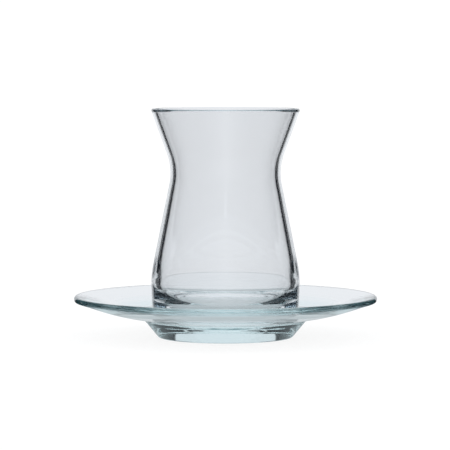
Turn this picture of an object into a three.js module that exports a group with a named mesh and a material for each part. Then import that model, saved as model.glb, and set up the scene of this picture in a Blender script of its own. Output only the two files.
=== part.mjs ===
// A slim-waisted tea glass standing in the well of its footed glass saucer.
// Millimetres, +Z up. The origin is the centre of the saucer's foot, on the table.
import * as THREE from "three";

// Driving dimensions of the saucer. Radii are from the axis, heights from the table.
const SAUCER_RADIUS = 59;
const SAUCER_RIM_HEIGHT = 16.4;
const SAUCER_EDGE = 2.2; // thickness of the rounded edge
const SAUCER_EDGE_ROUND = 1;
const CREASE_RADIUS = 44.6; // where the flange turns down into the well
const CREASE_HEIGHT = 13.6;
const CREASE_ROUND = 6;
const WELL_RADIUS = 36.5;
const WELL_HEIGHT = 10.4;
const WELL_ROUND = 4.8;
const PIT_EDGE_RADIUS = 31.9; // the pit in the middle of the well, in which the glass stands
const PIT_EDGE_HEIGHT = 10.1;
const PIT_EDGE_ROUND = 1;
const PIT_RADIUS = 30.5;
const PIT_HEIGHT = 8.1;
const PIT_ROUND = 1.7;
const BELLY_RADIUS = 44; // where the underside bends up towards the edge
const BELLY_HEIGHT = 9;
const BELLY_ROUND = 90;
const FOOT_TOP_RADIUS = 32.2;
const FOOT_TOP_HEIGHT = 7.4;
const FOOT_TOP_ROUND = 3;
const FOOT_RADIUS = 26; // outside of the ring that stands on the table
const FOOT_ROUND = 1.5;
const FOOT_RING_WIDTH = 5.3;
const FOOT_INSIDE_ROUND = 1;
const RECESS_RADIUS = 9; // the shallow hollow inside the foot
const RECESS_HEIGHT = 2.4;
const RECESS_ROUND = 7.4;

// Driving dimensions of the glass. Heights are from the underside of the glass.
const GLASS_HEIGHT = 80.8;
const RIM_RADIUS = 29.1;
const LIP_OUTSIDE_ROUND = 0.7;
const LIP_INSIDE_ROUND = 1.3;
const WAIST_RADIUS = 20.6; // where the two cones would meet, before the waist is rounded
const WAIST_HEIGHT = 57.4;
const WAIST_ROUND = 21.5;
const SHOULDER_RADIUS = 29; // the widest part, low down
const SHOULDER_HEIGHT = 16.1;
const SHOULDER_ROUND = 40;
const HEEL_RADIUS = 28.4;
const HEEL_ROUND = 5.3;
const WALL = 2; // measured level, from the lip down to the waist
const BEND_RADIUS = 25.55; // inside the shoulder, from where the wall grows thicker downwards
const BEND_HEIGHT = 20;
const BEND_ROUND = 42;
const BOWL_RADIUS = 25.65; // the hollow's rounded side
const BOWL_HEIGHT = 8.4;
const BOWL_ROUND = 11.4;
const FLOOR_RADIUS = 20.3; // the hollow's level floor
const FLOOR_HEIGHT = 3.3;
const FLOOR_ROUND = 0.8;
const PUNT_RADIUS = 18; // the shallow hollow under the glass
const PUNT_EDGE_ROUND = 1.8;
const PUNT_TOP_RADIUS = 3.4; // its level middle
const PUNT_DEPTH = 1.55;
const PUNT_TOP_ROUND = 2.7;

const REST_GAP = 0.1; // air between the glass and the pit it stands in
const SEGMENTS = 72; // facets round the axis
const FACET_DEPTH = 0.04; // how far a facet may cut into a rounded corner

// A corner of an outline: distance from the axis, height, and the radius that rounds it off.
function corner(radius, height, round = 0) {
  return { point: new THREE.Vector2(radius, height), round };
}

// The tangent arc that replaces a rounded corner, as points from the side of last to the side of next.
function cornerArc(last, { point, round }, next) {
  const toLast = last.point.clone().sub(point).normalize();
  const toNext = next.point.clone().sub(point).normalize();
  const halfAngle = toLast.angleTo(toNext) / 2;
  const bisector = toLast.clone().add(toNext).normalize();
  const centre = point.clone().addScaledVector(bisector, round / Math.sin(halfAngle));
  const start = point.clone().addScaledVector(toLast, round / Math.tan(halfAngle));
  const sweep = (2 * halfAngle - Math.PI) * Math.sign(toLast.cross(toNext));
  const facetAngle = 2 * Math.acos(1 - FACET_DEPTH / round);
  const steps = Math.max(2, Math.ceil(Math.abs(sweep) / facetAngle));
  return Array.from({ length: steps + 1 }, (_, i) =>
    start.clone().rotateAround(centre, (sweep * i) / steps),
  );
}

// Follows the corners in order, with each rounded one replaced by its arc.
function roundOff(corners) {
  return corners.flatMap((here, i) =>
    here.round ? cornerArc(corners[i - 1], here, corners[i + 1]) : [here.point],
  );
}

// A solid of revolution about the Z axis. Its outline starts and ends on the axis.
function revolve(name, corners, material) {
  const turned = new THREE.LatheGeometry(roundOff(corners), SEGMENTS);
  turned.rotateX(Math.PI / 2);
  const solid = new THREE.Mesh(turned, material);
  solid.name = name;
  return solid;
}

function clearGlass(colour) {
  return new THREE.MeshStandardMaterial({
    color: colour,
    roughness: 0.05,
    metalness: 0,
    transparent: true,
    opacity: 0.35,
  });
}

// From under the middle, over the foot and the underside to the edge, and back along the upper face.
function makeSaucer() {
  const footInside = FOOT_RADIUS - FOOT_RING_WIDTH;
  return revolve(
    "saucer",
    [
      corner(0, RECESS_HEIGHT),
      corner(RECESS_RADIUS, RECESS_HEIGHT, RECESS_ROUND),
      corner(footInside, 0, FOOT_INSIDE_ROUND),
      corner(FOOT_RADIUS, 0, FOOT_ROUND),
      corner(FOOT_TOP_RADIUS, FOOT_TOP_HEIGHT, FOOT_TOP_ROUND),
      corner(BELLY_RADIUS, BELLY_HEIGHT, BELLY_ROUND),
      corner(SAUCER_RADIUS, SAUCER_RIM_HEIGHT - SAUCER_EDGE, SAUCER_EDGE_ROUND),
      corner(SAUCER_RADIUS, SAUCER_RIM_HEIGHT, SAUCER_EDGE_ROUND),
      corner(CREASE_RADIUS, CREASE_HEIGHT, CREASE_ROUND),
      corner(WELL_RADIUS, WELL_HEIGHT, WELL_ROUND),
      corner(PIT_EDGE_RADIUS, PIT_EDGE_HEIGHT, PIT_EDGE_ROUND),
      corner(PIT_RADIUS, PIT_HEIGHT, PIT_ROUND),
      corner(0, PIT_HEIGHT),
    ],
    clearGlass(0xb7c6ca),
  );
}

// From under the middle, up the outside to the lip, and down the inside to the hollow's floor.
function makeGlass() {
  return revolve(
    "tea_glass",
    [
      corner(0, PUNT_DEPTH),
      corner(PUNT_TOP_RADIUS, PUNT_DEPTH, PUNT_TOP_ROUND),
      corner(PUNT_RADIUS, 0, PUNT_EDGE_ROUND),
      corner(HEEL_RADIUS, 0, HEEL_ROUND),
      corner(SHOULDER_RADIUS, SHOULDER_HEIGHT, SHOULDER_ROUND),
      corner(WAIST_RADIUS, WAIST_HEIGHT, WAIST_ROUND),
      corner(RIM_RADIUS, GLASS_HEIGHT, LIP_OUTSIDE_ROUND),
      corner(RIM_RADIUS - WALL, GLASS_HEIGHT, LIP_INSIDE_ROUND),
      corner(WAIST_RADIUS - WALL, WAIST_HEIGHT, WAIST_ROUND + WALL),
      corner(BEND_RADIUS, BEND_HEIGHT, BEND_ROUND),
      corner(BOWL_RADIUS, BOWL_HEIGHT, BOWL_ROUND),
      corner(FLOOR_RADIUS, FLOOR_HEIGHT, FLOOR_ROUND),
      corner(0, FLOOR_HEIGHT),
    ],
    clearGlass(0xd5dbe0),
  );
}

const teaGlassOnSaucer = new THREE.Group();
const saucer = makeSaucer();
const glass = makeGlass();
glass.position.z = PIT_HEIGHT + REST_GAP;
teaGlassOnSaucer.add(saucer, glass);

export default teaGlassOnSaucer;
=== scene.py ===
import bpy
import bmesh
from math import acos, ceil, pi, radians, sin, tan
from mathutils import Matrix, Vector


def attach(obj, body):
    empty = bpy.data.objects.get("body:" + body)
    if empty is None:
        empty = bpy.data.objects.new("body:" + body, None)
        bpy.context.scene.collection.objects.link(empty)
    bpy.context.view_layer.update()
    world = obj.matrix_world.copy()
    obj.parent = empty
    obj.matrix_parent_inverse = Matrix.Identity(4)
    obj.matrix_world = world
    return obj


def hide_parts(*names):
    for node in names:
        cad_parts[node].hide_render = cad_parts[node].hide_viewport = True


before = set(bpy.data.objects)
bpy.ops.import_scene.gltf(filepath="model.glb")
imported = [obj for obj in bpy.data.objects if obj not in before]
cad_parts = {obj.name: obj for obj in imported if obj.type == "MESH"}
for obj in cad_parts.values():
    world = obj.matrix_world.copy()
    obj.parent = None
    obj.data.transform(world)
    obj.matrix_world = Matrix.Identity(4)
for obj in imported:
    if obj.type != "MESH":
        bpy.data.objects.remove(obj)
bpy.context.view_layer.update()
scene = bpy.context.scene
mm = 0.001
print("frame loaded:", sorted(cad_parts))


# Turned glass. An outline lists (radius, height, rounding) in millimetres, from the axis and back to it.

fineness = {
    "arcStep": 2, "fewestSteps": 4,  # degrees to a step of a rounded corner
    "longestEdge": 1.2, "turns": 192, "weld": 0.002,  # edges and welding in millimetres
}


def roundedCorner(last, here, after, rounding):
    # centre, first point and turn of the arc that rounds off a corner
    toLast = (last - here).normalized()
    toNext = (after - here).normalized()
    half = acos(max(-1, min(1, toLast.dot(toNext)))) / 2
    centre = here + (toLast + toNext).normalized() * rounding / sin(half)
    first = here + toLast * rounding / tan(half)
    turn = (pi - 2 * half) * (1 if toLast.cross(toNext).y < 0 else -1)
    return centre, first, turn


def layOutline(bm, corners):
    # each corner becomes a vertex, or an arc swung from a vertex, and edges join them in order
    points = [Vector((radius * mm, 0, height * mm)) for radius, height, _ in corners]
    tail = None
    for i, (_, _, rounding) in enumerate(corners):
        if rounding:
            centre, first, turn = roundedCorner(points[i - 1], points[i], points[i + 1], rounding * mm)
            head = bm.verts.new(first)
            steps = max(fineness["fewestSteps"], ceil(abs(turn) / radians(fineness["arcStep"])))
            swung = bmesh.ops.spin(bm, geom=[head], cent=centre, axis=(0, 1, 0), angle=turn, steps=steps)
            end = [v for v in swung["geom_last"] if isinstance(v, bmesh.types.BMVert)][0]
        else:
            head = end = bm.verts.new(points[i])
        if tail:
            bm.edges.new((tail, head))
        tail = end
    while longEdges := [e for e in bm.edges if e.calc_length() > fineness["longestEdge"] * mm]:
        bmesh.ops.subdivide_edges(bm, edges=longEdges, cuts=1)


def layPiece(name, bm):
    mesh = bpy.data.meshes.new(name)
    bm.to_mesh(mesh)
    bm.free()
    piece = bpy.data.objects.new(name, mesh)
    scene.collection.objects.link(piece)
    return piece


def turnPiece(name, corners):
    bm = bmesh.new()
    layOutline(bm, corners)
    bmesh.ops.spin(bm, geom=bm.verts[:] + bm.edges[:], cent=(0, 0, 0), axis=(0, 0, 1),
                   angle=2 * pi, steps=fineness["turns"], use_merge=True)
    bmesh.ops.remove_doubles(bm, verts=bm.verts[:], dist=fineness["weld"] * mm)
    bmesh.ops.recalc_face_normals(bm, faces=bm.faces[:])
    for face in bm.faces:
        face.smooth = True
    piece = layPiece(name, bm)
    print(name, "turned:", len(piece.data.polygons), "faces")
    return piece


saucerForm = {
    "radius": 59, "rimHeight": 16.4, "edge": 2.2, "edgeRound": 1,
    "crease": (44.6, 13.6, 6), "well": (36.5, 10.4, 4.8),
    "pitEdge": (31.9, 10.1, 1), "pit": (30.5, 8.1, 1.7),  # the glass stands in the pit
    "belly": (44, 9, 90), "footTop": (32.2, 7.4, 3), "foot": 26, "footRound": 1.5,
    "footRing": 5.3, "footInsideRound": 1, "recess": (9, 2.4, 7.4),
}


def makeSaucer():
    s = saucerForm
    # from under the middle, over the foot and the underside to the edge, and back along the upper face
    corners = [
        (0, s["recess"][1], 0), s["recess"],
        (s["foot"] - s["footRing"], 0, s["footInsideRound"]), (s["foot"], 0, s["footRound"]),
        s["footTop"], s["belly"],
        (s["radius"], s["rimHeight"] - s["edge"], s["edgeRound"]),
        (s["radius"], s["rimHeight"], s["edgeRound"]),
        s["crease"], s["well"], s["pitEdge"], s["pit"], (0, s["pit"][1], 0),
    ]
    return turnPiece("saucer_glass", corners)


glassForm = {
    "height": 80.8, "rim": 29.1, "lipOutsideRound": 0.7, "lipInsideRound": 1.3,
    "waist": (20.6, 57.4, 21.5), "shoulder": (29, 16.1, 40), "heel": 28.4, "heelRound": 5.3,
    "wall": 2, "bend": (25.55, 20, 42), "bowl": (25.65, 8.4, 11.4), "floor": (20.3, 3.3, 0.8),
    "punt": 18, "puntRound": 1.8, "puntTop": (3.4, 1.55, 2.7),
    "restGap": 0.1,  # air between the glass and the pit
}


def makeGlass():
    g = glassForm
    waistRadius, waistHeight, waistRound = g["waist"]
    # from under the middle, up the outside to the lip, and down the inside to the hollow's floor
    corners = [
        (0, g["puntTop"][1], 0), g["puntTop"],
        (g["punt"], 0, g["puntRound"]), (g["heel"], 0, g["heelRound"]),
        g["shoulder"], g["waist"],
        (g["rim"], g["height"], g["lipOutsideRound"]),
        (g["rim"] - g["wall"], g["height"], g["lipInsideRound"]),
        (waistRadius - g["wall"], waistHeight, waistRound + g["wall"]),
        g["bend"], g["bowl"], g["floor"], (0, g["floor"][1], 0),
    ]
    lift = saucerForm["pit"][1] + g["restGap"]
    lifted = [(radius, height + lift, rounding) for radius, height, rounding in corners]
    return turnPiece("tea_glass_clear", lifted)


saucer = makeSaucer()
glass = makeGlass()


# Nodes. An input is given a fixed value, or another node's output to follow.

def feed(tree, source, socket):
    if isinstance(source, bpy.types.NodeSocket):
        tree.links.new(source, socket)
    else:
        socket.default_value = source


def makeNode(tree, kind, **inputs):
    node = tree.nodes.new(kind)
    for label, source in inputs.items():
        feed(tree, source, node.inputs[label])
    return node


def layMath(tree, kind, operation, *sources):
    node = tree.nodes.new(kind)
    node.operation = operation
    for socket, source in zip(node.inputs, sources):
        feed(tree, source, socket)
    return node.outputs


def layRange(tree, source, low, high, toLow=0, toHigh=1):
    limits = {"From Min": low, "From Max": high, "To Min": toLow, "To Max": toHigh}
    return makeNode(tree, "ShaderNodeMapRange", Value=source, **limits).outputs["Result"]


def layMix(tree, factor, first, second):
    mix = tree.nodes.new("ShaderNodeMix")
    mix.data_type = "RGBA"
    for label, source in (("Factor", factor), ("A", first), ("B", second)):
        feed(tree, source, mix.inputs[label])
    return mix.outputs["Result"]


def layShaders(tree, factor, first, second):
    mix = tree.nodes.new("ShaderNodeMixShader")
    for socket, source in zip(mix.inputs, (factor, first, second)):
        feed(tree, source, socket)
    return mix.outputs["Shader"]


def newMaterial(name):
    material = bpy.data.materials.new(name)
    material.use_nodes = True
    material.node_tree.nodes.clear()
    return material, material.node_tree


# Finishes. Both glasses share one group for what handling and pressing leave on the surface.

surfaceLook = {
    "rippleDetail": 2, "rippleRough": 0.4, "rippleUneven": 0.06,
    "smudgeDetail": 6, "smudgeRough": 0.62, "smudgeWarp": 0.6,
}


def buildSurfaceGroup():
    s = surfaceLook
    group = bpy.data.node_groups.new("glassSurface", "ShaderNodeTree")
    for label in ("Ripple Scale", "Smudge Scale"):
        group.interface.new_socket(label, in_out="INPUT", socket_type="NodeSocketFloat")
    for label in ("Ripple", "Smudge"):
        group.interface.new_socket(label, in_out="OUTPUT", socket_type="NodeSocketFloat")
    given = group.nodes.new("NodeGroupInput").outputs
    place = group.nodes.new("ShaderNodeTexCoord").outputs["Object"]
    # ripples run round the axis, by distance from it and height, and a share of the place lets them fade
    along = makeNode(group, "ShaderNodeSeparateXYZ", Vector=place).outputs
    level = makeNode(group, "ShaderNodeCombineXYZ", X=along["X"], Y=along["Y"]).outputs["Vector"]
    fromAxis = layMath(group, "ShaderNodeVectorMath", "LENGTH", level)["Value"]
    rings = makeNode(group, "ShaderNodeCombineXYZ", X=fromAxis, Y=along["Z"]).outputs["Vector"]
    share = (s["rippleUneven"],) * 3
    uneven = layMath(group, "ShaderNodeVectorMath", "MULTIPLY_ADD", place, share, rings)["Vector"]
    ripple = makeNode(group, "ShaderNodeTexNoise", Vector=uneven, Scale=given["Ripple Scale"],
                      Detail=s["rippleDetail"], Roughness=s["rippleRough"])
    smudge = makeNode(group, "ShaderNodeTexNoise", Vector=place, Scale=given["Smudge Scale"],
                      Detail=s["smudgeDetail"], Roughness=s["smudgeRough"], Distortion=s["smudgeWarp"])
    makeNode(group, "NodeGroupOutput", Ripple=ripple.outputs["Fac"], Smudge=smudge.outputs["Fac"])
    return group


surfaceGroup = buildSurfaceGroup()

clearFinish = {
    "slot": "glass_clear", "name": "clear_blown_glass", "ior": 1.52,
    "ripple": 45, "rippleDepth": 0.01, "smudge": 30, "smudged": (0.55, 0.8), "rough": (0, 0.012),
    "tints": ((0.985, 0.992, 1, 1), (1, 1, 1, 1)), "bodyTint": (0.75, 0.88, 0.95, 1), "bodyDensity": 8,
}
saucerFinish = {
    "slot": "saucer_clear", "name": "clear_pressed_glass", "ior": 1.52,
    "ripple": 300, "rippleDepth": 0.02, "smudge": 26, "smudged": (0.55, 0.8), "rough": (0, 0.02),
    "tints": ((0.975, 0.99, 1, 1), (1, 1, 1, 1)), "bodyTint": (0.72, 0.88, 0.9, 1), "bodyDensity": 16,
}


def makeClearGlass(finish):
    material, tree = newMaterial(finish["name"])
    surface = tree.nodes.new("ShaderNodeGroup")
    surface.node_tree = surfaceGroup
    surface.inputs["Ripple Scale"].default_value = finish["ripple"]
    surface.inputs["Smudge Scale"].default_value = finish["smudge"]
    smudge = surface.outputs["Smudge"]
    shader = makeNode(tree, "ShaderNodeBsdfPrincipled", IOR=finish["ior"], Metallic=0)
    shader.inputs["Transmission Weight"].default_value = 1
    # smudges dull the polish a little, and tint it hardly at all
    feed(tree, layRange(tree, smudge, *finish["smudged"], *finish["rough"]), shader.inputs["Roughness"])
    feed(tree, layMix(tree, smudge, *finish["tints"]), shader.inputs["Base Color"])
    bump = makeNode(tree, "ShaderNodeBump", Strength=finish["rippleDepth"], Distance=mm,
                    Height=surface.outputs["Ripple"])
    feed(tree, bump.outputs["Normal"], shader.inputs["Normal"])
    body = makeNode(tree, "ShaderNodeVolumeAbsorption", Color=finish["bodyTint"],
                    Density=finish["bodyDensity"])
    makeNode(tree, "ShaderNodeOutputMaterial", Surface=shader.outputs["BSDF"],
             Volume=body.outputs["Volume"])
    return material


def dress(piece, finish, node):
    piece.data.materials.append(makeClearGlass(finish))
    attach(piece, "root")
    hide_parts(node)


dress(saucer, saucerFinish, "saucer")
dress(glass, clearFinish, "tea_glass")
print("pieces finished")


# Camera, at the photograph's height and distance.

cameraPlace = {
    "distance": 1.119, "height": 0.1138, "aimHeight": 0.0437, "aimX": -0.0002,
    "lens": 230.6, "sensor": 36, "clip": (0.01, 20),
}


def placeCamera():
    c = cameraPlace
    data = bpy.data.cameras.new("camera")
    data.lens = c["lens"]
    data.sensor_width = c["sensor"]
    data.clip_start, data.clip_end = c["clip"]
    camera = bpy.data.objects.new("camera", data)
    scene.collection.objects.link(camera)
    place = Vector((0, -c["distance"], c["height"]))
    aim = Vector((c["aimX"], 0, c["aimHeight"]))
    camera.location = place
    camera.rotation_euler = (aim - place).to_track_quat("-Z", "Y").to_euler()
    scene.camera = camera
    return camera


camera = placeCamera()


# Studio, in metres: a pale floor, and a round light tent with dark sides that turns to face the camera,
# with a patch of painted shade on its floor under the saucer.

studio = {
    "floorHalf": 3, "floorDrop": 0.0001, "floorMatt": (0.9, 0.9, 0.9, 1), "floorGlow": 1.1, "shade": 0.2,
    "white": (1, 1, 1, 1), "surround": (0.88, 0.9, 0.92, 1), "seen": 1.05,
    "tentRadius": 0.4, "tentHeight": 0.6, "tentSteps": 96,
    # the tent's light by its bearing in degrees, taken from a point this far in front of the glass
    "lightPoint": 0.076,
    "lowLight": (
        (0, 0.84, 0.86, 0.89), (24, 0.84, 0.86, 0.89), (25.5, 0.008, 0.01, 0.012), (43, 0.01, 0.012, 0.015),
        (56, 0.02, 0.024, 0.028), (110, 0.02, 0.024, 0.028), (180, 0.35, 0.36, 0.37),
    ),
    "highLight": (
        (0, 1, 1, 1), (17, 1, 1, 1), (23, 0.3, 0.31, 0.32), (35, 0.3, 0.31, 0.32), (39, 0.8, 0.81, 0.82),
        (74, 0.8, 0.81, 0.82), (81, 0.05, 0.055, 0.06), (110, 0.05, 0.055, 0.06), (180, 0.35, 0.36, 0.37),
    ),
    "highFrom": (0.5, 0.56),  # heights between which the low light gives way to the high one
    # painted shade: the tent's floor under the saucer is a dim even colour in place of the saucer's shadow
    # on the ground, seen through the glass
    "paintedGroundShade": (0.5, 0.55, 0.57, 1), "paintedGroundShadeWithin": (0.066, 0.06),  # the even ground under the saucer
    "glassBounces": 64, "clearBounces": 16,
}


def stagePiece(name, bm, material):
    piece = layPiece(name, bm)
    piece.data.materials.append(material)
    return piece


def makeFloor():
    s = studio
    bm = bmesh.new()
    bmesh.ops.create_grid(bm, x_segments=1, y_segments=1, size=s["floorHalf"])
    bmesh.ops.translate(bm, verts=bm.verts[:], vec=(0, 0, -s["floorDrop"]))
    material, tree = newMaterial("pale_floor")
    glow = makeNode(tree, "ShaderNodeEmission", Color=s["white"], Strength=s["floorGlow"])
    matt = makeNode(tree, "ShaderNodeBsdfDiffuse", Color=s["floorMatt"])
    seen = layShaders(tree, s["shade"], glow.outputs["Emission"], matt.outputs["BSDF"])
    around = makeNode(tree, "ShaderNodeEmission", Color=s["surround"], Strength=1)
    path = tree.nodes.new("ShaderNodeLightPath")
    pick = layShaders(tree, path.outputs["Is Camera Ray"], around.outputs["Emission"], seen)
    makeNode(tree, "ShaderNodeOutputMaterial", Surface=pick)
    stagePiece("floor", bm, material)


def makeSurround():
    s = studio
    world = bpy.data.worlds.new("surround")
    world.use_nodes = True
    scene.world = world
    tree = world.node_tree
    tree.nodes.clear()
    seen = makeNode(tree, "ShaderNodeBackground", Color=s["white"], Strength=s["seen"])
    around = makeNode(tree, "ShaderNodeBackground", Color=s["surround"], Strength=1)
    path = tree.nodes.new("ShaderNodeLightPath")
    pick = layShaders(tree, path.outputs["Is Camera Ray"],
                      around.outputs["Background"], seen.outputs["Background"])
    makeNode(tree, "ShaderNodeOutputWorld", Surface=pick)


def layRamp(tree, source, stops):
    ramp = makeNode(tree, "ShaderNodeValToRGB", Fac=source)
    elements = ramp.color_ramp.elements
    while len(elements) < len(stops):
        elements.new(0.5)
    for element, (angle, red, green, blue) in zip(elements, stops):
        element.position = radians(angle) / pi
        element.color = (red, green, blue, 1)
    return ramp.outputs["Color"]


def makeTentMaterial():
    s = studio
    material, tree = newMaterial("tent_cloth")
    place = tree.nodes.new("ShaderNodeTexCoord").outputs["Object"]
    along = makeNode(tree, "ShaderNodeSeparateXYZ", Vector=place).outputs
    ahead = layMath(tree, "ShaderNodeMath", "ADD", along["Y"], s["lightPoint"])["Value"]
    bearing = layMath(tree, "ShaderNodeMath", "ARCTAN2", along["X"], ahead)["Value"]
    turned = layRange(tree, layMath(tree, "ShaderNodeMath", "ABSOLUTE", bearing)["Value"], 0, pi)
    low, high = (layRamp(tree, turned, s[belt]) for belt in ("lowLight", "highLight"))
    around = layMix(tree, layRange(tree, along["Z"], *s["highFrom"]), low, high)
    # painted shade: near the middle the tent's floor turns to a dim even colour, a painted shadow under the
    # saucer seen through the glass
    far = layMath(tree, "ShaderNodeVectorMath", "LENGTH", place)["Value"]
    tentLightAndShade = layMix(tree, layRange(tree, far, *s["paintedGroundShadeWithin"]), around, s["paintedGroundShade"])
    light = makeNode(tree, "ShaderNodeEmission", Color=tentLightAndShade, Strength=1)
    makeNode(tree, "ShaderNodeOutputMaterial", Surface=light.outputs["Emission"])
    return material


def makeTent():
    s = studio
    bm = bmesh.new()
    bmesh.ops.create_circle(bm, cap_ends=True, segments=s["tentSteps"], radius=s["tentRadius"])
    rim = [e for e in bm.edges if e.is_boundary]
    wall = bmesh.ops.extrude_edge_only(bm, edges=rim)["geom"]
    top = [v for v in wall if isinstance(v, bmesh.types.BMVert)]
    bmesh.ops.translate(bm, verts=top, vec=(0, 0, s["tentHeight"]))
    bmesh.ops.translate(bm, verts=bm.verts[:], vec=(0, 0, -s["floorDrop"] / 2))  # just above the floor
    tent = stagePiece("tent", bm, makeTentMaterial())
    # only rays through the glass or off it meet the tent
    tent.visible_camera = False
    tent.visible_diffuse = False
    tent.visible_shadow = False
    turn = tent.constraints.new("LOCKED_TRACK")
    turn.target = camera
    turn.track_axis = "TRACK_NEGATIVE_Y"
    turn.lock_axis = "LOCK_Z"


makeFloor()
makeSurround()
makeTent()

scene.view_settings.view_transform = "Standard"
scene.cycles.max_bounces = studio["glassBounces"]
scene.cycles.transmission_bounces = studio["glassBounces"]
scene.cycles.glossy_bounces = studio["glassBounces"]
scene.cycles.transparent_max_bounces = studio["clearBounces"]
print("studio built")
